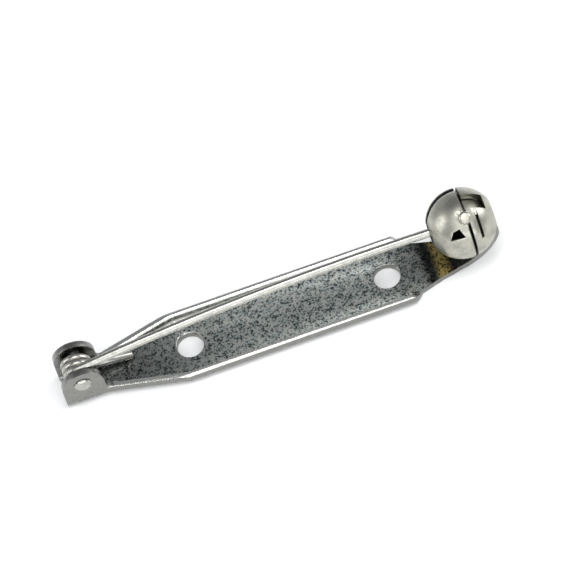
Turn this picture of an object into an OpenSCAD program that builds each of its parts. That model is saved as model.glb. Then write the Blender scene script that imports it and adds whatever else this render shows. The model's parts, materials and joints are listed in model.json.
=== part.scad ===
// Brooch pin finding: a stamped bar with two sewing holes, a riveted hinge with a coiled pin
// stem, and a ball catch whose left half turns to lock the pin in.
// Millimetres. X runs from the hinge to the catch and Z up from the back face. The origin lies
// on the back face, midway between the two sewing holes.

/* [Bar] */
// Width over the two side flanges
bar_w = 5.6; // [5.2:0.1:6.2]
// Thickness of the sheet
sheet = 0.45; // [0.38:0.01:0.5]
// Height of the side flanges above the back face
flange_h = 1; // [0.8:0.05:1.3]
// Outer radius of the folds
fold_r = 0.6; // [0.55:0.05:0.75]
// From the middle to where the bar starts to narrow towards the hinge
taper_start = 8; // [7.5:0.1:8.8]
// From the middle to where the flanges end beside the catch
flange_end = 8.5; // [8.3:0.1:8.8]
// Size of the cut-off corners past the flanges
shoulder = 0.75; // [0.5:0.05:0.9]

/* [Sewing holes] */
// Diameter of each hole
hole_d = 1.9; // [1.5:0.1:2.3]
// Distance between the two hole centres
hole_spacing = 14.5; // [13.5:0.1:15]

/* [Neck] */
// Width of the neck where it leaves the plate
neck_w = 3.1; // [2.8:0.1:3.5]
// Length over which the plate narrows to the neck
neck_run = 1.65; // [1.4:0.05:1.8]
// Width of the strap under the ball
strap_w = 2.6; // [2.2:0.1:2.8]
// Outer radius of the strap's bend up to the ball
bend_r = 4.25; // [4.1:0.05:4.4]

/* [Hinge] */
// From the middle to the hinge's axis
hinge_reach = 15.15; // [14.6:0.05:15.8]
// Length of each ear along the bar
ear_l = 3; // [2.8:0.1:3.3]
// Height of the ears above the hinge's axis
ear_over = 1.25; // [1.1:0.05:1.4]
// Radius of the fillet between an ear and its flange
ear_fillet = 0.5; // [0.3:0.05:0.7]
// Diameter of the rivet's shaft
rivet_d = 0.9; // [0.8:0.05:1]
// Diameter of the rivet's heads
head_d = 1.3; // [1.2:0.05:1.5]
// Height of the rivet's heads
head_h = 0.28; // [0.2:0.02:0.36]

/* [Pin] */
// Diameter of the spring wire
wire_d = 0.62; // [0.55:0.01:0.66]
// Number of turns in the coil
coil_turns = 3; // [2:1:4]
// Gap between the coil and the plate below it
coil_lift = 0.77; // [0.65:0.01:0.95]
// Angle at which the stem leaves the coil
stem_rise = 7.7; // [7:0.1:7.9]
// Length of the ground point
point_len = 2.2; // [1.6:0.1:3]
// Length of the tail that lies on the plate
tail_len = 3.95; // [3.4:0.05:4.5]

/* [Catch] */
// From the middle to the centre of the ball
catch_reach = 13.2; // [12.8:0.05:13.6]
// Diameter of the ball
ball_d = 5; // [4.8:0.05:5.3]
// Height of the ball's underside above the back face
ball_lift = 1.25; // [1.2:0.05:1.4]
// Flat cut off each end of the ball
end_flat = 0.2; // [0.12:0.02:0.3]
// Wall of the fixed half
cup_wall = 0.45; // [0.38:0.01:0.5]
// Wall of the turning half
cap_wall = 0.4; // [0.35:0.01:0.45]
// From the ball's centre to the split between the halves
split_shift = 0.25; // [0.15:0.05:0.35]
// Width of the split
split_gap = 0.12; // [0.1:0.01:0.18]
// From the ball's centre to the travel slit
slit_shift = 0.9; // [0.85:0.01:1]
// Width of the travel slit
slit_w = 0.22; // [0.18:0.01:0.26]
// Diameter of the thumb tab
tab_d = 0.9; // [0.75:0.05:1.05]
// Height of the thumb tab above the ball
tab_h = 0.4; // [0.3:0.05:0.55]

/* [Hidden] */
$fn = 96;
cut = 1;
nickel = "#a5a39c";

// Clearances
press_gap = 0.02;
coil_clear = 0.06;
side_clear = 0.065;
rest_clear = 0.03;
drum_clear = 0.08;
drum_end_clear = 0.1;
stem_clear = 0.34;
mouth_clear = 0.29;
slot_clear = 0.15;
tip_clear = 0.2;
lug_clear = 0.04;

// Hinge
coil_pitch = wire_d - 0.02;
coil_w = (coil_turns - 1) * coil_pitch + wire_d;
coil_r = rivet_d / 2 + coil_clear + wire_d / 2;
hinge_z = sheet + coil_lift + coil_r + wire_d / 2;
ear_in = coil_w / 2 + side_clear;
ear_out = ear_in + sheet;
ear_top = hinge_z + ear_over;
ear_right = -(hinge_reach - ear_l / 2);
ear_left = -(hinge_reach + ear_l / 2);
notch_depth = 0.35;
notch_r = (pow(ear_in, 2) + pow(notch_depth, 2)) / (2 * notch_depth);

// Plan of the tray
half_w = bar_w / 2;
taper = atan2(half_w - ear_out, ear_right * -1 - taper_start);
fold_in_r = fold_r - sheet;
inner_kink = -taper_start + sheet * tan(taper / 2);
inner_ear = ear_out - sheet / cos(taper);
slope_run = 0.5;

// Catch
ball_r = ball_d / 2;
ball_z = ball_lift + ball_r;
cap_left = catch_reach - ball_r + end_flat;
cup_right = catch_reach + ball_r - end_flat - 0.04;
split_x = catch_reach + split_shift;
cup_left = split_x + split_gap;
cup_r = ball_r - cup_wall;
cavity_end = cup_right - cup_wall;
drum_r = cup_r - drum_clear;
drum_end = cavity_end - drum_end_clear;
bore_r = wire_d / 2 + stem_clear;
mouth_w = wire_d + 2 * mouth_clear;
slot_w = wire_d + 2 * slot_clear;
slit_x = catch_reach + slit_shift;
slit_end = 72;
lock_turn = 42;
lug_angle = 23;
lug_w = 0.35;
tab_angle = 28;
tab_x = split_x - 0.1;
window_angle = 50;
window_x = catch_reach - 0.7;
window_l = 1.05;
window_w = 0.7;

// Neck
corner_end = flange_end + shoulder;
neck_x = corner_end + neck_run;
strap_x = catch_reach - 1;
bend_x = catch_reach - 1.8;

// Stem: an arc that leaves the coil's top turn at stem_rise and ends at the tip
turn_y = (coil_turns - 1) * coil_pitch / 2;
start_x = -hinge_reach;
start_z = hinge_z + coil_r;
tip_x = drum_end - tip_clear;
tip_z = ball_z - 0.05;
stem_run = norm([tip_x - start_x, turn_y]);
stem_yaw = atan2(turn_y, tip_x - start_x);
chord = norm([stem_run, tip_z - start_z]);
half_sweep = stem_rise - atan2(tip_z - start_z, stem_run);
stem_r = chord / (2 * sin(half_sweep));
point_sweep = point_len / stem_r * 180 / PI;
wire_sweep = 2 * half_sweep - point_sweep;
point_d = 0.1;
bend_swell = 0.02;

// Tail: from the coil's bottom turn down to the plate
tail_drop = hinge_z - coil_r - sheet - wire_d / 2 - rest_clear;
tail_slope = asin(tail_drop / tail_len);

module slab(x1, x2) {
    reach = 2 * ball_d;
    translate([x1, -reach, -reach]) cube([x2 - x1, 2 * reach, 2 * reach]);
}

// Turns a profile about the catch's axis, with X as the radius and Y along the bar
module turned() {
    translate([catch_reach, 0, ball_z]) rotate([0, 90, 0]) rotate_extrude() children();
}

// Profile of a ball on the catch's centre, kept between two planes
module zone(r, x1, x2) {
    intersection() {
        circle(r = r);
        translate([0, x1 - catch_reach]) square([r, x2 - x1]);
    }
}

// The metal outside a round fold, along one straight edge of the far side
module fold_cutter(x1, y1, x2, y2, r) {
    translate([x1, y1, 0]) rotate([0, 0, atan2(y2 - y1, x2 - x1)]) rotate([90, 0, 90])
        linear_extrude(norm([x2 - x1, y2 - y1]))
            difference() {
                translate([-r, -cut]) square([r + cut, r + cut]);
                translate([-r, r]) circle(r = r);
            }
}

// All fold cutters of the far side, with half widths for the ears and for the bar
module fold_cutters(ear_half, kink, full_half, r) {
    run = kink - ear_right;
    rise = full_half - ear_half;
    grow = cut / norm([run, rise]);
    lap = r * sin(atan2(rise, run));
    fold_cutter(ear_left - cut, ear_half, ear_right + lap, ear_half, r);
    fold_cutter(ear_right, ear_half, kink + grow * run, full_half + grow * rise, r);
    fold_cutter(kink, full_half, flange_end + 2 * shoulder, full_half, r);
}

module both_sides() {
    children();
    mirror([0, 1, 0]) children();
}

// Half outline of the plate and neck, seen from above
module plate_plan() {
    polygon([
        [ear_left, 0], [ear_left, ear_out], [ear_right, ear_out],
        [-taper_start, half_w], [flange_end, half_w],
        [corner_end, half_w - shoulder],
        [neck_x, neck_w / 2], [strap_x, strap_w / 2],
        [cup_right, strap_w / 2], [cup_right, 0]
    ]);
}

// The room between the flanges and the ears, seen from above
module tray_plan() {
    polygon([
        [ear_left - cut, 0], [ear_left - cut, ear_in], [ear_right, inner_ear],
        [inner_kink, half_w - sheet], [cup_right, half_w - sheet], [cup_right, 0]
    ]);
}

module tray_room() {
    difference() {
        translate([0, 0, sheet]) linear_extrude(ear_top) tray_plan();
        translate([0, 0, sheet]) fold_cutters(inner_ear, inner_kink, half_w - sheet, fold_in_r);
    }
}

// Side view of an ear with the fillet towards its flange
module ear_profile() {
    ear_r = ear_l / 2;
    translate([ear_left, 0]) square([ear_l, ear_top - ear_r]);
    translate([-hinge_reach, ear_top - ear_r]) circle(r = ear_r);
    difference() {
        translate([ear_right, 0]) square([ear_fillet, flange_h + ear_fillet]);
        translate([ear_right + ear_fillet, flange_h + ear_fillet]) circle(r = ear_fillet);
    }
}

module ears() {
    translate([0, ear_out, 0]) rotate([90, 0, 0]) linear_extrude(2 * ear_out) ear_profile();
}

// The flanges' ends slope down to the plate
module flange_slopes() {
    translate([0, half_w + cut, 0]) rotate([90, 0, 0]) linear_extrude(bar_w + 2 * cut)
        polygon([
            [flange_end, flange_h + cut], [flange_end, flange_h],
            [flange_end + slope_run, sheet], [cup_right + cut, sheet],
            [cup_right + cut, flange_h + cut]
        ]);
}

module tray() {
    difference() {
        union() {
            both_sides() intersection() {
                linear_extrude(flange_h) plate_plan();
                slab(ear_left, bend_x);
            }
            ears();
        }
        flange_slopes();
        both_sides() tray_room();
        both_sides() fold_cutters(ear_out, -taper_start, half_w, fold_r);
        translate([ear_left + notch_depth - notch_r, 0, -cut]) cylinder(r = notch_r, h = sheet + cut);
    }
}

// Side view of the neck, from past the bar's corners, and of the strap that bends up under the ball
module strap_profile() {
    translate([corner_end, 0]) square([bend_x - corner_end, sheet]);
    intersection() {
        translate([bend_x, bend_r]) difference() {
            circle(r = bend_r);
            circle(r = bend_r - sheet);
        }
        translate([bend_x, 0]) square([cup_right - bend_x, ball_z - end_flat]);
    }
}

module strap() {
    intersection() {
        translate([0, half_w, 0]) rotate([90, 0, 0]) linear_extrude(bar_w) strap_profile();
        both_sides() linear_extrude(ball_z) plate_plan();
    }
}

// The slit that the lug travels in, from the mouth down the near side
module travel_slit() {
    translate([slit_x, 0, ball_z]) rotate([0, 90, 0]) rotate([0, 0, 180])
        rotate_extrude(angle = slit_end) translate([cup_r - cut / 2, 0]) square([cup_wall + cut, slit_w]);
}

module bar() {
    color(nickel) difference() {
        union() {
            tray();
            strap();
            turned() zone(ball_r, cup_left, cup_right);
        }
        turned() zone(cup_r, split_x, cavity_end);
        translate([split_x, -mouth_w / 2, ball_z]) cube([cavity_end - split_x, mouth_w, ball_r + cut]);
        travel_slit();
        for (side = [-1, 1])
            translate([side * hole_spacing / 2, 0, -cut]) cylinder(d = hole_d, h = sheet + 2 * cut);
        translate([-hinge_reach, ear_out + cut, hinge_z]) rotate([90, 0, 0])
            cylinder(d = rivet_d + 2 * press_gap, h = 2 * ear_out + 2 * cut);
    }
}

// A round head whose flat face lies just clear of the ear
module rivet_head() {
    crown_r = (pow(head_d / 2, 2) + pow(head_h, 2)) / (2 * head_h);
    translate([0, 0, ear_out + press_gap]) intersection() {
        translate([0, 0, head_h - crown_r]) sphere(r = crown_r);
        cylinder(d = head_d + cut, h = head_h);
    }
}

module hinge_rivet() {
    grip = ear_out + press_gap;
    color(nickel) translate([-hinge_reach, 0, hinge_z]) rotate([90, 0, 0]) {
        translate([0, 0, -grip]) cylinder(d = rivet_d, h = 2 * grip);
        rivet_head();
        mirror([0, 0, 1]) rivet_head();
    }
}

module coil() {
    translate([-hinge_reach, 0, hinge_z]) rotate([90, 0, 0]) rotate_extrude()
        for (turn = [0:coil_turns - 1])
            translate([coil_r, turn * coil_pitch - turn_y]) circle(d = wire_d + bend_swell, $fn = 48);
}

module stem() {
    translate([start_x, -turn_y, start_z]) rotate([0, 0, stem_yaw]) rotate([90, 0, 0])
        translate([stem_r * sin(stem_rise), -stem_r * cos(stem_rise), 0])
            rotate([0, 0, 90 + stem_rise - wire_sweep]) {
                rotate_extrude(angle = wire_sweep, $fn = 720)
                    translate([stem_r, 0]) circle(d = wire_d, $fn = 48);
                translate([stem_r, 0, 0]) rotate([90, 0, 0]) {
                    cylinder(d1 = wire_d, d2 = point_d, h = point_len, $fn = 48);
                    translate([0, 0, point_len]) sphere(d = point_d, $fn = 24);
                }
            }
}

module tail() {
    translate([-hinge_reach, turn_y, hinge_z - coil_r]) rotate([0, 90 + tail_slope, 0])
        cylinder(d = wire_d, h = tail_len, $fn = 48);
}

module pin_stem() {
    color(nickel) {
        coil();
        stem();
        tail();
    }
}

// The lug on the drum that rides in the travel slit
module lug() {
    foot = sqrt(pow(drum_r, 2) - pow(slit_shift, 2)) - cap_wall / 2;
    crown = sqrt(pow(ball_r, 2) - pow(slit_shift + slit_w, 2)) - lug_clear;
    translate([catch_reach, 0, ball_z]) rotate([lug_angle, 0, 0])
        translate([slit_shift + lug_clear, -lug_w / 2, foot])
            cube([slit_w - 2 * lug_clear, lug_w, crown - foot]);
}

// The thumb tab, which stands on the turning half and reaches just over the split
module thumb_tab() {
    foot = ball_r - cap_wall / 2;
    rise = ball_r + split_gap;
    translate([0, 0, ball_z]) rotate([tab_angle, 0, 0]) difference() {
        translate([tab_x, 0, foot]) cylinder(d = tab_d, h = rise + tab_h - foot);
        translate([split_x, -tab_d, foot - cut]) cube([tab_d, 2 * tab_d, rise - foot + cut]);
    }
}

// The small window pressed out below the tab
module window() {
    translate([window_x, 0, ball_z]) rotate([window_angle, 0, 0])
        translate([0, 0, ball_r - 2 * cap_wall]) linear_extrude(3 * cap_wall)
            polygon([
                [-window_l / 2, -window_w / 2], [window_l / 2, -window_w / 2],
                [window_l / 4, window_w / 2], [-window_l / 5, window_w / 3]
            ]);
}

module lock_cap() {
    color(nickel) {
        difference() {
            turned() difference() {
                union() {
                    zone(ball_r, cap_left, split_x);
                    zone(drum_r, catch_reach, drum_end);
                }
                zone(ball_r - cap_wall, cap_left + cap_wall, split_x - cap_wall);
                zone(drum_r - cap_wall, catch_reach - split_shift, drum_end - cap_wall);
            }
            translate([cap_left - cut, 0, ball_z]) rotate([0, 90, 0])
                cylinder(r = bore_r, h = ball_d + 2 * cut);
            // Closed at rest: the slot lies past the top, on the far side, where the pin can't rise
            translate([cap_left - cut, 0, ball_z]) rotate([-lock_turn, 0, 0])
                translate([0, -slot_w / 2, 0]) cube([ball_d + 2 * cut, slot_w, ball_r + cut]);
            window();
        }
        lug();
        thumb_tab();
    }
}

bar();
hinge_rivet();
pin_stem();
lock_cap();
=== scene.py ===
"""A nickel-plated brooch pin finding: bar, rivet, coiled pin stem and turning ball catch."""
import json
import math

import bpy
from mathutils import Matrix, Vector


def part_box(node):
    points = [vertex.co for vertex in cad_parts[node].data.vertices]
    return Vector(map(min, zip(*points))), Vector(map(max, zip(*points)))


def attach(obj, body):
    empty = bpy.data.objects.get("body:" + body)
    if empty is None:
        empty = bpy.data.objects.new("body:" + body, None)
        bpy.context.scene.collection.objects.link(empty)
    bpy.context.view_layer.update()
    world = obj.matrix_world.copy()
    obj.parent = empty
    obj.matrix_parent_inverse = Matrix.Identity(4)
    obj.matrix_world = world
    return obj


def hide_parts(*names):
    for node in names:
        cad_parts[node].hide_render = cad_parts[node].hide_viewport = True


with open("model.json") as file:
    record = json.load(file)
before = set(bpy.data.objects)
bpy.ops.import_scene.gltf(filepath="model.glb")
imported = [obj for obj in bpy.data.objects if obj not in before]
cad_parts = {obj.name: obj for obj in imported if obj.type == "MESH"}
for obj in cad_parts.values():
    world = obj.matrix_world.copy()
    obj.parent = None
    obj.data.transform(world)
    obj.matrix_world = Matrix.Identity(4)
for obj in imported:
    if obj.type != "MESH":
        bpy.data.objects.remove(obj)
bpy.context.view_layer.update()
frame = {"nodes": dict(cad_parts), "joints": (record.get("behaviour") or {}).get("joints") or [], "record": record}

bl_info = {
    "name": "Brooch pin finding",
    "version": (1, 0, 0),
    "blender": (4, 5, 0),
    "location": "3D View > Sidebar > Finding",
    "description": "Models and finishes a bar pin back with a coiled pin stem and a ball catch",
    "category": "Add Mesh",
}

MM = 0.001

# Places read from the frame, in metres
PIN_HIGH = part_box("pin_stem")[1]
PIVOTS = {joint["name"]: Vector(joint["pos_m"]) for joint in frame["joints"]}
HINGE = PIVOTS["stem_swing"]
BALL = PIVOTS["lock_turn"]
HOLES = next(mount for mount in frame["record"]["mounts"] if mount["name"] == "sewing_holes")
HOLE_R = HOLES["dims"]["hole_r_mm"] * MM
HOLE_SPACING = HOLES["dims"]["spacing_x_mm"] * MM

# Places along the flanges, from the hinge to the ball
EAR_END = HINGE.x + 1.9 * MM        # the ear's edge has come down to the flange
FILLET_END = HINGE.x + 2.2 * MM     # the fillet below the ear has run out
TAPER_END = -7.9 * MM               # the flanges turn straight along the bar
NECK_START = BALL.x - 4 * MM        # the flanges have ended before the neck

# How faces and edges are found and cleaned
NEAR = 0.01 * MM                    # room for a point that should lie at a place
MERGE = 0.0005 * MM                 # points closer than this are one point
FLAT = math.radians(0.5)            # faces that meet at less than this are one face
SHARP = math.radians(28)            # edges that turn more than this are rounded
SMOOTH = math.radians(40)           # edges that turn less than this are shaded smooth
RIM_DEPTH = 0.2 * MM                # from the ball's skin to the inner side of its rims

# The photograph's frame, 580 pixels square
FRAME_PX = 580
MIDDLE_PX = (288.5, 310.5)
PX_PER_MM = 14.35
ELEVATION = math.radians(57)
AZIMUTH = math.radians(3)
ROLL = math.radians(16.7)

# How each plate is mottled: how many patches and grains there are to the metre, then how strong
# the patches, the scratches and the grain's relief are
PLATES = {
    "bar_plate": (3000, 12000, 0.5, 0.5, 0.5),
    # The painted highlight on the flanges' rounded tops
    "painted_highlight_edge": (3000, 12000, 0.4, 0.3, 0.4),
    "ball_plate": (1500, 8000, 0.5, 0.3, 0.35),
    "rivet_plate": (2500, 9000, 0.5, 0.2, 0.4),
    "wire_plate": (2500, 9000, 0.4, 0.2, 0.3),
}
DULLING = 0.3                       # how much rougher the dullest patches are
RELIEF = 0.02 * MM                  # depth of the grain at full strength

# Painted shade and shadow along the tray, and a painted brown reflection on the neck, at shares of the way from
# the hinge to the ball's middle
BANDS = ((0.15, "dusk"), (0.42, "clean"), (0.75, "clean"), (0.88, "dusk"), (0.903, "dark"),
         (0.915, "dark"), (0.93, "brown_reflection"), (0.944, "brown_reflection"), (0.96, "dark"))
BAND_WAVER = 0.022                  # how far the specks move a band's edge, as a share

# Where shade is painted on the ball
SPLIT_SHADE_CORE = 0.6                    # share of the painted shade along the split that is fully dark
TAB_ROOM = 0.03 * MM                # the thumb tab, this far above the ball's skin, stays clear of the painted shade
SKIN = 0.05 * MM                    # the cap is painted in shade deeper than this

# How far up or aside a face looks, as a part of its normal
RATHER_UP = 0.2
LEVEL = 0.95
UPRIGHT = 0.98

# The Mix node's colour sockets, which share their names with its other sockets
MIX_FIRST, MIX_SECOND, MIX_RESULT = 6, 7, 2


class FindingSizes(bpy.types.PropertyGroup):
    """Sizes that a user would change."""
    sheet: bpy.props.FloatProperty(
        name="Sheet", description="Thickness of the bar's sheet", default=0.45 * MM,
        unit="LENGTH", precision=6)
    flange_round: bpy.props.FloatProperty(
        name="Flange rounding", description="Width of the rounding on the flanges' top edges",
        default=0.17 * MM, unit="LENGTH", precision=6)
    flange_height: bpy.props.FloatProperty(
        name="Flange height", description="From the back face to the flanges' top",
        default=1.0 * MM, unit="LENGTH", precision=6)
    edge_break: bpy.props.FloatProperty(
        name="Edge break", description="Width of the rounding on every stamped edge",
        default=0.045 * MM, unit="LENGTH", precision=6)
    hole_lip: bpy.props.FloatProperty(
        name="Hole lip", description="Width of the rounding round each sewing hole",
        default=0.13 * MM, unit="LENGTH", precision=6)
    ball_radius: bpy.props.FloatProperty(
        name="Ball radius", description="Radius of the ball catch", default=2.5 * MM,
        unit="LENGTH", precision=6)
    split: bpy.props.FloatProperty(
        name="Split", description="Place of the turning cap's edge along the bar",
        default=BALL.x + 0.25 * MM, unit="LENGTH", precision=6)
    split_gap: bpy.props.FloatProperty(
        name="Split gap", description="Gap between the ball's two halves",
        default=0.12 * MM, unit="LENGTH", precision=6)
    split_round: bpy.props.FloatProperty(
        name="Split rounding", description="Width of the rounding on both halves' rims",
        default=0.09 * MM, unit="LENGTH", precision=6)
    # Half width of the painted shade along the split
    split_shade: bpy.props.FloatProperty(
        name="Grime", description="Half width of the dark line along the split",
        default=0.14 * MM, unit="LENGTH", precision=6)
    tab_angle: bpy.props.FloatProperty(
        name="Tab angle", description="Lean of the thumb tab from the ball's top to the near side",
        default=math.radians(28), subtype="ANGLE")
    tab_dome: bpy.props.FloatProperty(
        name="Tab dome", description="Width of the rounding on top of the thumb tab",
        default=0.2 * MM, unit="LENGTH", precision=6)
    wire: bpy.props.FloatProperty(
        name="Wire", description="Diameter of the spring wire", default=0.62 * MM,
        unit="LENGTH", precision=6)
    coil: bpy.props.FloatProperty(
        name="Coil", description="Radius of the coil at the wire's centre", default=0.82 * MM,
        unit="LENGTH", precision=6)
    coil_turns: bpy.props.FloatProperty(
        name="Coil turns", description="Turns from the tail's end of the coil to the stem's",
        default=2.5)
    coil_width: bpy.props.FloatProperty(
        name="Coil width", description="Between the wire's centres at the coil's two ends",
        default=1.2 * MM, unit="LENGTH", precision=6)
    stem_rise: bpy.props.FloatProperty(
        name="Stem rise", description="Angle at which the stem leaves the coil",
        default=math.radians(7.7), subtype="ANGLE")
    point: bpy.props.FloatProperty(
        name="Point", description="Length of the ground point", default=2.2 * MM,
        unit="LENGTH", precision=6)
    point_tip: bpy.props.FloatProperty(
        name="Point tip", description="Diameter of the point's very end", default=0.1 * MM,
        unit="LENGTH", precision=6)
    tail: bpy.props.FloatProperty(
        name="Tail", description="Length of the straight tail under the stem",
        default=3.95 * MM, unit="LENGTH", precision=6)
    tail_gap: bpy.props.FloatProperty(
        name="Tail gap", description="Room between the tail's end and the plate",
        default=0.03 * MM, unit="LENGTH", precision=6)
    camera_distance: bpy.props.FloatProperty(
        name="Camera distance", description="From the bar's middle to the camera",
        default=300 * MM, unit="LENGTH")


class FindingColours(bpy.types.PropertyGroup):
    """Colours and gloss that a user would change."""
    plating: bpy.props.FloatVectorProperty(
        name="Plating", description="Colour of the nickel on the wire and the rivet",
        subtype="COLOR", size=3, min=0, max=1, default=(0.47, 0.465, 0.43))
    sheet: bpy.props.FloatVectorProperty(
        name="Sheet", description="Duller nickel on the sides of the stamped bar",
        subtype="COLOR", size=3, min=0, max=1, default=(0.25, 0.25, 0.235))
    # A painted highlight: a brighter copy of the nickel on the flanges' rounded tops
    edge: bpy.props.FloatVectorProperty(
        name="Worn edge", description="Brightest nickel, on top of the flanges",
        subtype="COLOR", size=3, min=0, max=1, default=(0.75, 0.75, 0.72))
    ball: bpy.props.FloatVectorProperty(
        name="Ball", description="Warmer colour of the nickel on the ball catch",
        subtype="COLOR", size=3, min=0, max=1, default=(0.45, 0.44, 0.375))
    tarnish: bpy.props.FloatVectorProperty(
        name="Tarnish", description="Colour of the duller patches", subtype="COLOR", size=3,
        min=0, max=1, default=(0.2, 0.2, 0.19))
    tray: bpy.props.FloatVectorProperty(
        name="Tray", description="Colour of the dull plate inside the bar", subtype="COLOR",
        size=3, min=0, max=1, default=(0.8, 0.81, 0.75))
    tray_cool: bpy.props.FloatVectorProperty(
        name="Tray, cool", description="Colour of the bluer clouds inside the bar",
        subtype="COLOR", size=3, min=0, max=1, default=(0.6, 0.67, 0.66))
    # Also the painted shadow under the ball, and the painted shade along the ball's split and inside the cap
    speck_and_shadow_dark: bpy.props.FloatVectorProperty(
        name="Tray, dark", description="Colour of the darkest specks inside the bar",
        subtype="COLOR", size=3, min=0, max=1, default=(0.045, 0.05, 0.047))
    dusk: bpy.props.FloatVectorProperty(
        name="Tray ends", description="Shade that darkens the tray at its two ends",
        subtype="COLOR", size=3, min=0, max=1, default=(0.4, 0.4, 0.4))
    # A painted reflection: the brown band on the neck below the ball
    brown_reflection: bpy.props.FloatVectorProperty(
        name="Heat tint", description="Brown tint of the neck below the ball", subtype="COLOR",
        size=3, min=0, max=1, default=(0.62, 0.46, 0.18))
    # Painted brown shade on the wire between the turns of the coil
    coil_shade: bpy.props.FloatVectorProperty(
        name="Grease", description="Brown dirt between the turns of the coil", subtype="COLOR",
        size=3, min=0, max=1, default=(0.06, 0.042, 0.024))
    floor: bpy.props.FloatVectorProperty(
        name="Floor", description="Colour of the floor", subtype="COLOR", size=3,
        min=0, max=1, default=(0.9, 0.9, 0.9))
    gloss: bpy.props.FloatProperty(
        name="Roughness", description="Roughness of the bar's and the wire's plate",
        subtype="FACTOR", min=0, max=1, default=0.2)
    ball_gloss: bpy.props.FloatProperty(
        name="Ball roughness", description="Roughness of the ball's plate", subtype="FACTOR",
        min=0, max=1, default=0.26)
    rivet_gloss: bpy.props.FloatProperty(
        name="Rivet roughness", description="Roughness of the rivet's heads", subtype="FACTOR",
        min=0, max=1, default=0.12)


# Small steps shared by the pieces

def sizes():
    """The sizes as they are set in the scene."""
    return bpy.context.scene.finding_sizes


def colours():
    """The colours as they are set in the scene."""
    return bpy.context.scene.finding_colours


def opaque(colour):
    """A colour with full cover, as sockets take it."""
    return (*colour, 1)


def pick(obj):
    """Makes obj the only selected object, and the active one."""
    bpy.ops.object.select_all(action="DESELECT")
    obj.select_set(True)
    bpy.context.view_layer.objects.active = obj
    return obj


def select_faces(obj, test):
    """In edit mode, selects the faces whose centre and normal pass the test."""
    bpy.ops.mesh.select_mode(type="FACE")
    bpy.ops.mesh.select_all(action="DESELECT")
    bpy.ops.object.mode_set(mode="OBJECT")
    found = [test(face.center, face.normal) for face in obj.data.polygons]
    if not any(found):
        raise RuntimeError(f"{obj.name}: no face passes the test")
    obj.data.polygons.foreach_set("select", found)
    bpy.ops.object.mode_set(mode="EDIT")


def select_edges(obj, test):
    """In edit mode, selects the sharp edges whose two ends both pass the test."""
    bpy.ops.mesh.select_mode(type="EDGE")
    bpy.ops.mesh.select_all(action="DESELECT")
    bpy.ops.mesh.edges_select_sharp(sharpness=SHARP)
    bpy.ops.object.mode_set(mode="OBJECT")
    points = obj.data.vertices
    found = [edge.select and all(test(points[end].co) for end in edge.vertices)
             for edge in obj.data.edges]
    if not any(found):
        raise RuntimeError(f"{obj.name}: no edge passes the test")
    bpy.ops.object.mode_set(mode="EDIT")
    bpy.ops.mesh.select_all(action="DESELECT")
    bpy.ops.object.mode_set(mode="OBJECT")
    obj.data.edges.foreach_set("select", found)
    bpy.ops.object.mode_set(mode="EDIT")


def divide_edges(obj, cuts, test):
    """Divides the sharp edges whose two ends pass the test."""
    pick(obj)
    bpy.ops.object.mode_set(mode="EDIT")
    select_edges(obj, test)
    bpy.ops.mesh.subdivide(number_cuts=cuts)
    bpy.ops.object.mode_set(mode="OBJECT")


def round_rim(obj, width, test):
    """Rounds the sharp edges whose two ends pass the test."""
    pick(obj)
    bpy.ops.object.mode_set(mode="EDIT")
    select_edges(obj, test)
    bpy.ops.mesh.bevel(offset=width, offset_type="OFFSET", segments=4, affect="EDGES")
    bpy.ops.object.mode_set(mode="OBJECT")


def break_edges(obj, width):
    """Rounds every sharp edge, as tumbling and plating do."""
    pick(obj)
    bevel = obj.modifiers.new("edge_break", "BEVEL")
    bevel.width = width
    bevel.segments = 3
    bevel.limit_method = "ANGLE"
    bevel.angle_limit = SHARP
    bpy.ops.object.modifier_apply(modifier=bevel.name)
    bpy.ops.object.shade_smooth_by_angle(angle=SMOOTH)


def copy_node(node, name):
    """A copy of a CAD node whose loose triangles are merged and whose flat faces are whole."""
    source = frame["nodes"][node]
    obj = bpy.data.objects.new(name, source.data.copy())
    bpy.context.scene.collection.objects.link(obj)
    obj.data.materials.clear()
    pick(obj)
    bpy.ops.object.mode_set(mode="EDIT")
    bpy.ops.mesh.select_all(action="SELECT")
    bpy.ops.mesh.remove_doubles(threshold=MERGE)
    bpy.ops.mesh.customdata_custom_splitnormals_clear()
    bpy.ops.mesh.dissolve_limited(angle_limit=FLAT)
    bpy.ops.object.mode_set(mode="OBJECT")
    return obj


def on_ball_rim(point, place):
    """True on the outer rim of one of the ball's halves, which ends at a place along the bar."""
    from_axis = math.hypot(point.y - BALL.y, point.z - BALL.z)
    return abs(point.x - place) < NEAR and from_axis > sizes().ball_radius - RIM_DEPTH


# Shader steps. Each input is a value, or another node's output.

def feed(tree, source, socket):
    """Sets a socket to a value, or links another node's output to it."""
    if isinstance(source, bpy.types.NodeSocket):
        tree.links.new(source, socket)
    else:
        socket.default_value = source


def calculated(tree, operation, *inputs):
    """The number that a Math node gives."""
    node = tree.nodes.new("ShaderNodeMath")
    node.operation = operation
    for source, socket in zip(inputs, node.inputs):
        feed(tree, source, socket)
    return node.outputs["Value"]


def vector_node(tree, operation, *inputs):
    """A Vector Math node's outputs."""
    node = tree.nodes.new("ShaderNodeVectorMath")
    node.operation = operation
    for source, socket in zip(inputs, node.inputs):
        feed(tree, source, socket)
    return node.outputs


def spread(tree, value, start, end, low=0.0, high=1.0, smooth=False):
    """Takes the values from start to end to those from low to high, and stops at both."""
    node = tree.nodes.new("ShaderNodeMapRange")
    node.interpolation_type = "SMOOTHSTEP" if smooth else "LINEAR"
    for label, number in (("From Min", start), ("From Max", end),
                          ("To Min", low), ("To Max", high)):
        node.inputs[label].default_value = number
    feed(tree, value, node.inputs["Value"])
    return node.outputs["Result"]


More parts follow.
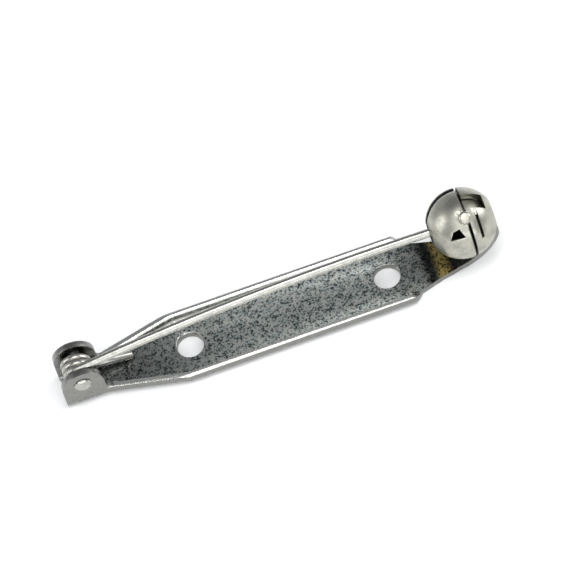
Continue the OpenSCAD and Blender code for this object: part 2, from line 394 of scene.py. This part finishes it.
def noise(tree, place, scale, detail, roughness=0.5):
    """The value of a noise over the given places."""
    node = tree.nodes.new("ShaderNodeTexNoise")
    node.inputs["Detail"].default_value = detail
    node.inputs["Roughness"].default_value = roughness
    feed(tree, place, node.inputs["Vector"])
    feed(tree, scale, node.inputs["Scale"])
    return node.outputs["Fac"]


def mixed(tree, factor, first, second, blend="MIX"):
    """Two colours, mixed by the factor."""
    node = tree.nodes.new("ShaderNodeMix")
    node.data_type = "RGBA"
    node.blend_type = blend
    feed(tree, factor, node.inputs["Factor"])
    feed(tree, first, node.inputs[MIX_FIRST])
    feed(tree, second, node.inputs[MIX_SECOND])
    return node.outputs[MIX_RESULT]


def embossed(tree, height, strength):
    """The normal of a surface with a fine relief."""
    node = tree.nodes.new("ShaderNodeBump")
    node.inputs["Strength"].default_value = strength
    node.inputs["Distance"].default_value = RELIEF
    feed(tree, height, node.inputs["Height"])
    return node.outputs["Normal"]


def own_place(tree):
    """The place on the piece, in the frame's metres."""
    return tree.nodes.new("ShaderNodeTexCoord").outputs["Object"]


def along_bar(tree, place):
    """How far a place lies along the bar."""
    node = tree.nodes.new("ShaderNodeSeparateXYZ")
    feed(tree, place, node.inputs["Vector"])
    return node.outputs["X"]


def new_group(name, values, results):
    """An empty shader group that takes a Vector and some values, and its two ends."""
    group = bpy.data.node_groups.new(name, "ShaderNodeTree")
    add_socket = group.interface.new_socket
    add_socket("Vector", in_out="INPUT", socket_type="NodeSocketVector")
    for label, default in values.items():
        socket = add_socket(label, in_out="INPUT", socket_type="NodeSocketFloat")
        socket.default_value = default
    for label in results:
        add_socket(label, in_out="OUTPUT", socket_type="NodeSocketFloat")
    given = group.nodes.new("NodeGroupInput").outputs
    wanted = group.nodes.new("NodeGroupOutput").inputs
    return group, given, wanted


def place_group(tree, group, place, values):
    """Puts a shader group in a material, with some of its values set; gives its outputs."""
    node = tree.nodes.new("ShaderNodeGroup")
    node.node_tree = group
    feed(tree, place, node.inputs["Vector"])
    for label, value in values.items():
        node.inputs[label].default_value = value
    return node.outputs


# Finishes

def mottle_group():
    """Soft patches of duller plate over fine grain: a mask and a height."""
    group, given, wanted = new_group(
        "plating_mottle", {"Patch size": 1000.0, "Grain size": 6000.0, "Contrast": 0.5},
        ("Mask", "Height"))
    patch = noise(group, given["Vector"], given["Patch size"], detail=5, roughness=0.62)
    grain = noise(group, given["Vector"], given["Grain size"], detail=3)
    sharpened = spread(group, patch, start=0.38, end=0.66)
    grain_share = 0.35
    feed(group, calculated(group, "MULTIPLY", sharpened, given["Contrast"]), wanted["Mask"])
    feed(group, calculated(group, "MULTIPLY_ADD", grain, grain_share, patch), wanted["Height"])
    return group


def scratch_group():
    """Fine scratches along the bar, broken up by their own noise: a mask."""
    group, given, wanted = new_group(
        "fine_scratches", {"Fineness": 9000.0, "Amount": 0.3}, ("Mask",))
    stretch = group.nodes.new("ShaderNodeMapping")
    stretch.inputs["Scale"].default_value = (0.06, 1.0, 1.0)
    stretch.inputs["Rotation"].default_value = (0.0, 0.0, math.radians(7))
    feed(group, given["Vector"], stretch.inputs["Vector"])
    lines = noise(group, stretch.outputs["Vector"], given["Fineness"], detail=2)
    thin = spread(group, lines, start=0.58, end=0.72)
    feed(group, calculated(group, "MULTIPLY", thin, given["Amount"]), wanted["Mask"])
    return group


def speck_group():
    """Fine dark specks over softer clouds, as on dull plate: two masks and a height."""
    group, given, wanted = new_group(
        "plate_specks", {"Speck size": 7500.0, "Cloud size": 2200.0},
        ("Mask", "Cloud", "Height"))
    speck = noise(group, given["Vector"], given["Speck size"], detail=1)
    cloud = noise(group, given["Vector"], given["Cloud size"], detail=3)
    cloud_share = 0.45
    both = calculated(group, "MULTIPLY_ADD", cloud, cloud_share, speck)
    feed(group, spread(group, both, start=0.67, end=0.87), wanted["Mask"])
    feed(group, spread(group, cloud, start=0.4, end=0.6), wanted["Cloud"])
    feed(group, speck, wanted["Height"])
    return group


def metal(name):
    """A new metal, with its node tree and its shader's inputs."""
    material = bpy.data.materials.new(name)
    material.use_nodes = True
    shader = material.node_tree.nodes["Principled BSDF"]
    shader.inputs["Metallic"].default_value = 1.0
    return material, material.node_tree, shader.inputs


def plated(name, colour, gloss):
    """Nickel plate: bright metal with duller patches, grain and fine scratches."""
    patches, grain, contrast, scratches, relief = PLATES[name]
    groups = bpy.data.node_groups
    material, tree, surface = metal(name)
    place = own_place(tree)
    mottle = place_group(
        tree, groups.get("plating_mottle") or mottle_group(), place,
        {"Patch size": patches, "Grain size": grain, "Contrast": contrast})
    scratch = place_group(
        tree, groups.get("fine_scratches") or scratch_group(), place, {"Amount": scratches})
    tone = mixed(tree, mottle["Mask"], opaque(colour), opaque(colours().tarnish))
    dull = calculated(tree, "ADD", mottle["Mask"], scratch["Mask"])
    feed(tree, tone, surface["Base Color"])
    feed(tree, spread(tree, dull, 0, 1, gloss, gloss + DULLING), surface["Roughness"])
    feed(tree, embossed(tree, mottle["Height"], relief), surface["Normal"])
    return material


def stain(material, mask, colour):
    """Lays a colour over the material's own, where the mask is 1."""
    tree = material.node_tree
    base = tree.nodes["Principled BSDF"].inputs["Base Color"]
    clean = base.links[0].from_socket
    feed(tree, mixed(tree, mask, clean, opaque(colour)), base)


def ball_material():
    """The warmer plate of both halves of the ball, with painted shade in the cap's slot and along the split."""
    known = bpy.data.materials.get("ball_plate")
    if known:
        return known
    size = sizes()
    material = plated("ball_plate", colours().ball, colours().ball_gloss)
    tree = material.node_tree
    from_ball = vector_node(tree, "SUBTRACT", own_place(tree), BALL)["Vector"]
    radius = vector_node(tree, "LENGTH", from_ball)["Value"]
    along = along_bar(tree, from_ball)
    # Painted shade: a dark line along the split between the halves, and over the whole inside of the cap
    gap_middle = size.split + size.split_gap / 2 - BALL.x
    off_gap = calculated(tree, "ABSOLUTE", calculated(tree, "SUBTRACT", along, gap_middle))
    near_gap = spread(tree, off_gap, start=size.split_shade, end=SPLIT_SHADE_CORE * size.split_shade)
    under_tab = calculated(tree, "LESS_THAN", radius, size.ball_radius + TAB_ROOM)
    line = calculated(tree, "MULTIPLY", near_gap, under_tab)
    below_skin = calculated(tree, "LESS_THAN", radius, size.ball_radius - SKIN)
    in_cap = calculated(tree, "LESS_THAN", along, size.split - BALL.x)
    inside = calculated(tree, "MULTIPLY", below_skin, in_cap)
    stain(material, calculated(tree, "MAXIMUM", line, inside), colours().speck_and_shadow_dark)
    return material


def wire_material():
    """The plate of the spring wire, with painted brown shade between the turns of the coil."""
    size = sizes()
    material = plated("wire_plate", colours().plating, colours().gloss)
    tree = material.node_tree
    from_hinge = vector_node(tree, "SUBTRACT", own_place(tree), HINGE)["Vector"]
    off_axis = vector_node(tree, "MULTIPLY", from_hinge, (1, 0, 1))["Vector"]
    radius = vector_node(tree, "LENGTH", off_axis)["Value"]
    # Painted brown shade on the wire below the coil's crests
    crest, groove = size.coil + size.wire / 2, size.coil + size.wire / 4
    stain(material, spread(tree, radius, start=crest, end=groove), colours().coil_shade)
    return material


def tray_material():
    """Dull speckled plate, with painted shade at its ends, a painted shadow and a painted brown reflection below
    the ball.
    """
    material, tree, surface = metal("tray_plate")
    place = own_place(tree)
    specks = place_group(tree, speck_group(), place, {})
    bright = mixed(tree, specks["Cloud"], opaque(colours().tray), opaque(colours().tray_cool))
    tone = mixed(tree, specks["Mask"], bright, opaque(colours().speck_and_shadow_dark))
    # Painted shade at the tray's ends, a painted shadow under the ball and a painted brown reflection on the neck
    share = spread(tree, along_bar(tree, place), start=HINGE.x, end=BALL.x)
    shade = tree.nodes.new("ShaderNodeValToRGB")
    fill_ramp(shade.color_ramp.elements)
    feed(tree, calculated(tree, "MULTIPLY_ADD", specks["Height"], BAND_WAVER, share),
         shade.inputs["Fac"])
    banded = mixed(tree, 1.0, tone, shade.outputs["Color"], blend="MULTIPLY")
    feed(tree, banded, surface["Base Color"])
    feed(tree, spread(tree, specks["Mask"], 0, 1, low=0.3, high=0.5), surface["Roughness"])
    feed(tree, embossed(tree, specks["Height"], strength=0.7), surface["Normal"])
    return material


def fill_ramp(ramp):
    """Sets a colour ramp to the tray's bands of painted shade, shadow and reflection."""
    shades = {"clean": (1, 1, 1, 1), "dusk": opaque(colours().dusk),
              "dark": opaque(colours().speck_and_shadow_dark), "brown_reflection": opaque(colours().brown_reflection)}
    ramp.remove(ramp[1])
    start, first = BANDS[0]
    ramp[0].position = start
    ramp[0].color = shades[first]
    for share, name in BANDS[1:]:
        ramp.new(share).color = shades[name]


def finish_piece(obj, body, slot, material, *nodes):
    """Gives a piece its finish and its body, and hides the CAD nodes that it stands for."""
    obj.data.materials.clear()
    obj.data.materials.append(material)
    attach(obj, body)
    if nodes:
        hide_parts(*nodes)


# Pieces

class FINDING_OT_bar(bpy.types.Operator):
    """Finish the stamped bar, with its broken edges and hole lips"""
    bl_idname = "finding.bar"
    bl_label = "Stamped bar"

    TAPER_CUTS = 10                 # the slanting flanges are long, so they're divided first
    TOP_ROOM = 0.001 * MM           # the flanges' tops are level to within this
    HOLE_ROOM = 0.02 * MM           # a hole's rim is round to within this
    TRAY_ROOM = 0.03 * MM           # the tray's face is level to within this
    SKIN_ROOM = 0.1 * MM            # the cup's faces reach no further past the ball's radius
    STRAP_LENGTH = 2 * MM           # the part of the strap that shows below the ball
    STRAP_DROP = 1 * MM             # the strap's edges start this far below the ball's middle

    def execute(self, context):
        bar = copy_node("bar", "stamped_bar")
        round_rim(bar, sizes().hole_lip, self.on_hole_rim)
        divide_edges(bar, self.TAPER_CUTS, self.on_taper_top)
        round_rim(bar, sizes().flange_round, self.on_rounded_top)
        round_rim(bar, sizes().split_round, self.on_cup_rim)
        break_edges(bar, sizes().edge_break)
        gloss = colours().gloss
        plate = plated("bar_plate", colours().sheet, gloss)
        finish_piece(bar, "bar", "bar_nickel", plate, "bar")
        # The flanges' rounded tops get a painted highlight, a brighter copy of the plate
        self.paint(bar, plated("painted_highlight_edge", colours().edge, gloss), self.on_flange_highlight)
        self.paint(bar, tray_material(), self.in_tray)
        self.paint(bar, ball_material(), self.on_cup)
        return {"FINISHED"}

    def on_hole_rim(self, point):
        """True on the upper rim of a sewing hole."""
        from_hole = math.hypot(abs(point.x) - HOLE_SPACING / 2, point.y)
        on_top = abs(point.z - sizes().sheet) < NEAR
        return on_top and abs(from_hole - HOLE_R) < self.HOLE_ROOM

    def on_flange_top(self, point):
        """True on the level top of a side flange."""
        level = abs(point.z - sizes().flange_height) < self.TOP_ROOM
        return level and point.x > EAR_END

    def on_taper_top(self, point):
        """True where the flange runs aslant, beside the ears."""
        return self.on_flange_top(point) and point.x < TAPER_END

    def on_rounded_top(self, point):
        """True on the flange's top, clear of the fillet below the ear."""
        return self.on_flange_top(point) and point.x > FILLET_END

    def on_cup_rim(self, point):
        """True on the cup's outer rim, which faces the turning cap."""
        return on_ball_rim(point, sizes().split + sizes().split_gap)

    def paint(self, bar, material, test):
        """Gives the faces whose centre and normal pass the test a finish of their own."""
        bar.data.materials.append(material)
        pick(bar)
        bpy.ops.object.mode_set(mode="EDIT")
        select_faces(bar, test)
        bar.active_material_index = len(bar.data.materials) - 1
        bpy.ops.object.material_slot_assign()
        bpy.ops.object.mode_set(mode="OBJECT")

    def on_flange_highlight(self, centre, normal):
        """True on the rounded top of a side flange, clear of the ears, where the highlight is painted."""
        raised = centre.z > sizes().flange_height - sizes().flange_round - NEAR
        return raised and FILLET_END < centre.x < NECK_START and normal.z > RATHER_UP

    def in_tray(self, centre, normal):
        """True on the upper face of the plate, the neck and the strap's foot."""
        level = normal.z > LEVEL and abs(centre.z - sizes().sheet) < self.TRAY_ROOM
        below_ball = centre.z < BALL.z - sizes().ball_radius
        on_strap = BALL.x - self.STRAP_LENGTH < centre.x < BALL.x and below_ball
        return level or (on_strap and normal.z > RATHER_UP)

    def on_cup(self, centre, normal):
        """True on the fixed half of the ball, inside and out, but not on the strap's edges."""
        strap_edge = abs(normal.y) > UPRIGHT and centre.z < BALL.z - self.STRAP_DROP
        near_ball = (centre - BALL).length < sizes().ball_radius + self.SKIN_ROOM
        return centre.x > sizes().split and near_ball and not strap_edge


class FINDING_OT_rivet(bpy.types.Operator):
    """Finish the hinge rivet"""
    bl_idname = "finding.rivet"
    bl_label = "Hinge rivet"

    def execute(self, context):
        rivet = copy_node("hinge_rivet", "peened_rivet")
        break_edges(rivet, sizes().edge_break)
        plate = plated("rivet_plate", colours().plating, colours().rivet_gloss)
        finish_piece(rivet, "bar", "rivet_nickel", plate, "hinge_rivet")
        return {"FINISHED"}


class FINDING_OT_pin_stem(bpy.types.Operator):
    """Wind the pin stem: tail, coil and pointed stem in one wire"""
    bl_idname = "finding.pin_stem"
    bl_label = "Pin stem"

    COIL_STEP = math.radians(7.5)
    STEM_STEPS = 60
    POINT_STEPS = 16
    CUT = 0.06 * MM                 # length of the rounding at the tail's cut end
    CUT_SHARE = 0.82                # thickness of the cut end, as a share of the wire's
    TIP_DROP = 0.05 * MM            # from the ball's middle down to the point's end
    POINT_CURVE = 0.85              # below 1, the point's sides bulge a little

    def execute(self, context):
        route = self.tail() + self.coil() + self.stem()
        wire = self.swept(context, "pin_wire", route)
        bpy.ops.object.shade_smooth_by_angle(angle=math.radians(50))
        finish_piece(wire, "stem", "wire_steel", wire_material(), "pin_stem")
        return {"FINISHED"}

    def tail(self):
        """From the cut end on the plate up to the coil's bottom, as (place, thickness)."""
        size = sizes()
        drop = HINGE.z - size.coil - size.sheet - size.wire / 2 - size.tail_gap
        slope = math.asin(drop / size.tail)
        along = Vector((math.cos(slope), 0, -math.sin(slope)))
        bottom = HINGE + Vector((0, size.coil_width / 2, -size.coil))
        return [(bottom + along * size.tail, self.CUT_SHARE),
                (bottom + along * (size.tail - self.CUT), 1.0),
                (bottom + along * size.coil, 1.0)]

    def coil(self):
        """Round the rivet from the bottom to the top, stepping across to the stem's side."""
        size = sizes()
        turn = size.coil_turns * 2 * math.pi
        steps = round(turn / self.COIL_STEP)
        route = []
        for step in range(steps + 1):
            share = step / steps
            angle = share * turn
            across = size.coil_width * (0.5 - share)
            route.append((HINGE + Vector((-size.coil * math.sin(angle), across,
                                          -size.coil * math.cos(angle))), 1.0))
        return route

    def stem(self):
        """A slight arc from the coil's top into the ball, ending in the ground point."""
        size = sizes()
        start = HINGE + Vector((0, -size.coil_width / 2, size.coil))
        tip = Vector((PIN_HIGH[0], 0, BALL.z - self.TIP_DROP))
        chord = tip - start
        sweep = 2 * (size.stem_rise - math.atan2(chord.z, math.hypot(chord.x, chord.y)))
        radius = chord.length / (2 * math.sin(sweep / 2))
        level = Vector((chord.x, chord.y, 0)).normalized()
        point_sweep = size.point / radius
        route = []
        for step in range(1, self.STEM_STEPS + 1):
            angle = (sweep - point_sweep) * step / self.STEM_STEPS
            route.append((self.on_arc(start, level, radius, angle), 1.0))
        blunt = size.point_tip / size.wire
        for step in range(1, self.POINT_STEPS + 1):
            left = 1 - step / self.POINT_STEPS
            place = self.on_arc(start, level, radius, sweep - point_sweep * left)
            route.append((place, blunt + (1 - blunt) * left ** self.POINT_CURVE))
        return route

    def on_arc(self, start, level, radius, angle):
        """The place on the stem's arc after it has turned by the angle."""
        rise = sizes().stem_rise
        run = radius * (math.sin(rise) - math.sin(rise - angle))
        lift = radius * (math.cos(rise - angle) - math.cos(rise))
        return start + level * run + Vector((0, 0, lift))

    def swept(self, context, name, route):
        """A closed round wire along the route, as a mesh."""
        data = bpy.data.curves.new(name, "CURVE")
        data.dimensions = "3D"
        data.bevel_depth = sizes().wire / 2
        data.bevel_resolution = 7
        data.use_fill_caps = True
        data.twist_mode = "MINIMUM"
        spline = data.splines.new("POLY")
        spline.points.add(len(route) - 1)
        for point, (place, thickness) in zip(spline.points, route):
            point.co = (*place, 1)
            point.radius = thickness
        curve = bpy.data.objects.new(name, data)
        context.scene.collection.objects.link(curve)
        pick(curve)
        bpy.ops.object.convert(target="MESH")
        wire = context.object
        bpy.ops.object.mode_set(mode="EDIT")
        bpy.ops.mesh.select_all(action="SELECT")
        bpy.ops.mesh.remove_doubles(threshold=MERGE)
        bpy.ops.mesh.normals_make_consistent(inside=False)
        bpy.ops.object.mode_set(mode="OBJECT")
        return wire


class FINDING_OT_lock_cap(bpy.types.Operator):
    """Finish the turning half of the ball catch"""
    bl_idname = "finding.lock_cap"
    bl_label = "Turning cap"

    def execute(self, context):
        cap = copy_node("lock_cap", "turning_cap")
        tilt = sizes().tab_angle
        tab_axis = Vector((0, -math.sin(tilt), math.cos(tilt)))
        top = max(tab_axis.dot(vertex.co - BALL) for vertex in cap.data.vertices) - NEAR
        round_rim(cap, sizes().tab_dome, lambda point: tab_axis.dot(point - BALL) > top)
        round_rim(cap, sizes().split_round, lambda point: on_ball_rim(point, sizes().split))
        break_edges(cap, sizes().edge_break)
        finish_piece(cap, "lock", "cap_nickel", ball_material(), "lock_cap")
        return {"FINISHED"}


class FINDING_OT_stage(bpy.types.Operator):
    """Set the camera, the pale floor and the soft light"""
    bl_idname = "finding.stage"
    bl_label = "Stage"

    SENSOR = 36                     # width of the camera's sensor, in millimetres
    FLOOR_SIZE = 3                  # in metres, so that its edges never show
    FLOOR_DROP = 0.02 * MM          # keeps the floor off the back face

    # Name, place, width and height in metres, and power of each light that faces the bar
    SOFTBOXES = (
        ("front_wall", (-0.05, -0.5, 0.16), (0.7, 0.22), 1.05),
        ("camera_panel", (0.0, -0.3, 0.46), (0.6, 0.4), 1.0),
        ("top_box", (0.02, -0.05, 0.6), (0.3, 0.16), 1.2),
        ("left_wall", (-0.5, 0.05, 0.25), (0.3, 0.4), 0.8),
        ("right_wall", (0.5, 0.05, 0.3), (0.3, 0.4), 1.4),
    )

    # The room around, and the dark opening in it: how wide it is, and how bright in and out
    ROOM = (0.94, 0.97, 1.0, 1)
    OPENING_OUTSIDE, OPENING_INSIDE = math.radians(40), math.radians(20)
    ROOM_LIGHT, OPENING_LIGHT = 0.55, 0.27

    def execute(self, context):
        scene = context.scene
        scene.view_settings.view_transform = "Standard"
        self.camera(scene)
        self.floor()
        self.surroundings(scene)
        for name, place, size, watts in self.SOFTBOXES:
            self.softbox(scene, name, place, size, watts)
        return {"FINISHED"}

    def camera(self, scene):
        """Looks down on the bar from the near side, rolled so that the bar rises to the right."""
        away = Vector((math.sin(AZIMUTH), math.cos(AZIMUTH), 0))
        level_right = Vector((math.cos(AZIMUTH), -math.sin(AZIMUTH), 0))
        level_up = away * math.sin(ELEVATION) + Vector((0, 0, math.cos(ELEVATION)))
        towards = Vector((0, 0, math.sin(ELEVATION))) - away * math.cos(ELEVATION)
        right = math.cos(ROLL) * level_right - math.sin(ROLL) * level_up
        up = math.sin(ROLL) * level_right + math.cos(ROLL) * level_up
        metres_per_px = MM / PX_PER_MM
        middle = Vector((0, 0, sizes().sheet))
        aim = middle + right * (FRAME_PX / 2 - MIDDLE_PX[0]) * metres_per_px
        aim += up * (MIDDLE_PX[1] - FRAME_PX / 2) * metres_per_px
        distance = sizes().camera_distance
        data = bpy.data.cameras.new("camera")
        data.sensor_width = self.SENSOR
        data.lens = self.SENSOR * distance / (FRAME_PX * metres_per_px)
        data.clip_start = 0.01
        data.clip_end = 20
        camera = bpy.data.objects.new("camera", data)
        scene.collection.objects.link(camera)
        turn = Matrix((right, up, towards)).transposed().to_4x4()
        camera.matrix_world = Matrix.Translation(aim + towards * distance) @ turn
        scene.camera = camera

    def floor(self):
        """A wide matt floor just below the back face."""
        bpy.ops.object.select_all(action="DESELECT")
        bpy.ops.mesh.primitive_plane_add(size=self.FLOOR_SIZE, location=(0, 0, -self.FLOOR_DROP))
        floor = bpy.context.object
        floor.name = floor.data.name = "floor"
        pick(floor)
        bpy.ops.object.transform_apply(location=True, rotation=True, scale=True)
        material = bpy.data.materials.new("floor_paper")
        material.use_nodes = True
        shader = material.node_tree.nodes["Principled BSDF"]
        shader.inputs["Base Color"].default_value = opaque(colours().floor)
        shader.inputs["Roughness"].default_value = 0.9
        floor.data.materials.append(material)

    def surroundings(self, scene):
        """An even pale room with a dark opening high on the far side, which the plate mirrors."""
        world = bpy.data.worlds.new("studio")
        scene.world = world
        world.use_nodes = True
        tree = world.node_tree
        sky = tree.nodes["Background"].inputs
        sky["Color"].default_value = self.ROOM
        place = tree.nodes.new("ShaderNodeTexCoord").outputs["Generated"]
        opening = (0, math.cos(ELEVATION), math.sin(ELEVATION))
        facing = vector_node(tree, "DOT_PRODUCT", place, opening)["Value"]
        strength = spread(
            tree, facing, math.cos(self.OPENING_OUTSIDE), math.cos(self.OPENING_INSIDE),
            self.ROOM_LIGHT, self.OPENING_LIGHT, smooth=True)
        feed(tree, strength, sky["Strength"])

    def softbox(self, scene, name, place, size, watts):
        """A soft rectangular light that faces the bar's middle."""
        light = bpy.data.lights.new(name, "AREA")
        light.shape = "RECTANGLE"
        light.size, light.size_y = size
        light.energy = watts
        box = bpy.data.objects.new(name, light)
        box.location = place
        box.rotation_euler = Vector(place).to_track_quat("Z", "Y").to_euler()
        scene.collection.objects.link(box)


class FINDING_PT_panel(bpy.types.Panel):
    """Lists the pieces of the finding, then its sizes and colours"""
    bl_idname = "FINDING_PT_panel"
    bl_label = "Brooch pin finding"
    bl_space_type = "VIEW_3D"
    bl_region_type = "UI"
    bl_category = "Finding"

    def draw(self, context):
        column = self.layout.column()
        for operator in OPERATORS:
            column.operator(operator.bl_idname)
        for group in (context.scene.finding_sizes, context.scene.finding_colours):
            for key in group.__annotations__:
                column.prop(group, key)


OPERATORS = (
    FINDING_OT_stage,
    FINDING_OT_bar,
    FINDING_OT_rivet,
    FINDING_OT_pin_stem,
    FINDING_OT_lock_cap,
)
CLASSES = (FindingSizes, FindingColours, *OPERATORS, FINDING_PT_panel)


def register():
    for cls in CLASSES:
        bpy.utils.register_class(cls)
    bpy.types.Scene.finding_sizes = bpy.props.PointerProperty(type=FindingSizes)
    bpy.types.Scene.finding_colours = bpy.props.PointerProperty(type=FindingColours)


def unregister():
    del bpy.types.Scene.finding_colours
    del bpy.types.Scene.finding_sizes
    for cls in reversed(CLASSES):
        bpy.utils.unregister_class(cls)


def main():
    register()
    bpy.ops.finding.stage()
    bpy.ops.finding.bar()
    bpy.ops.finding.rivet()
    bpy.ops.finding.pin_stem()
    bpy.ops.finding.lock_cap()


if __name__ == "__main__":
    main()
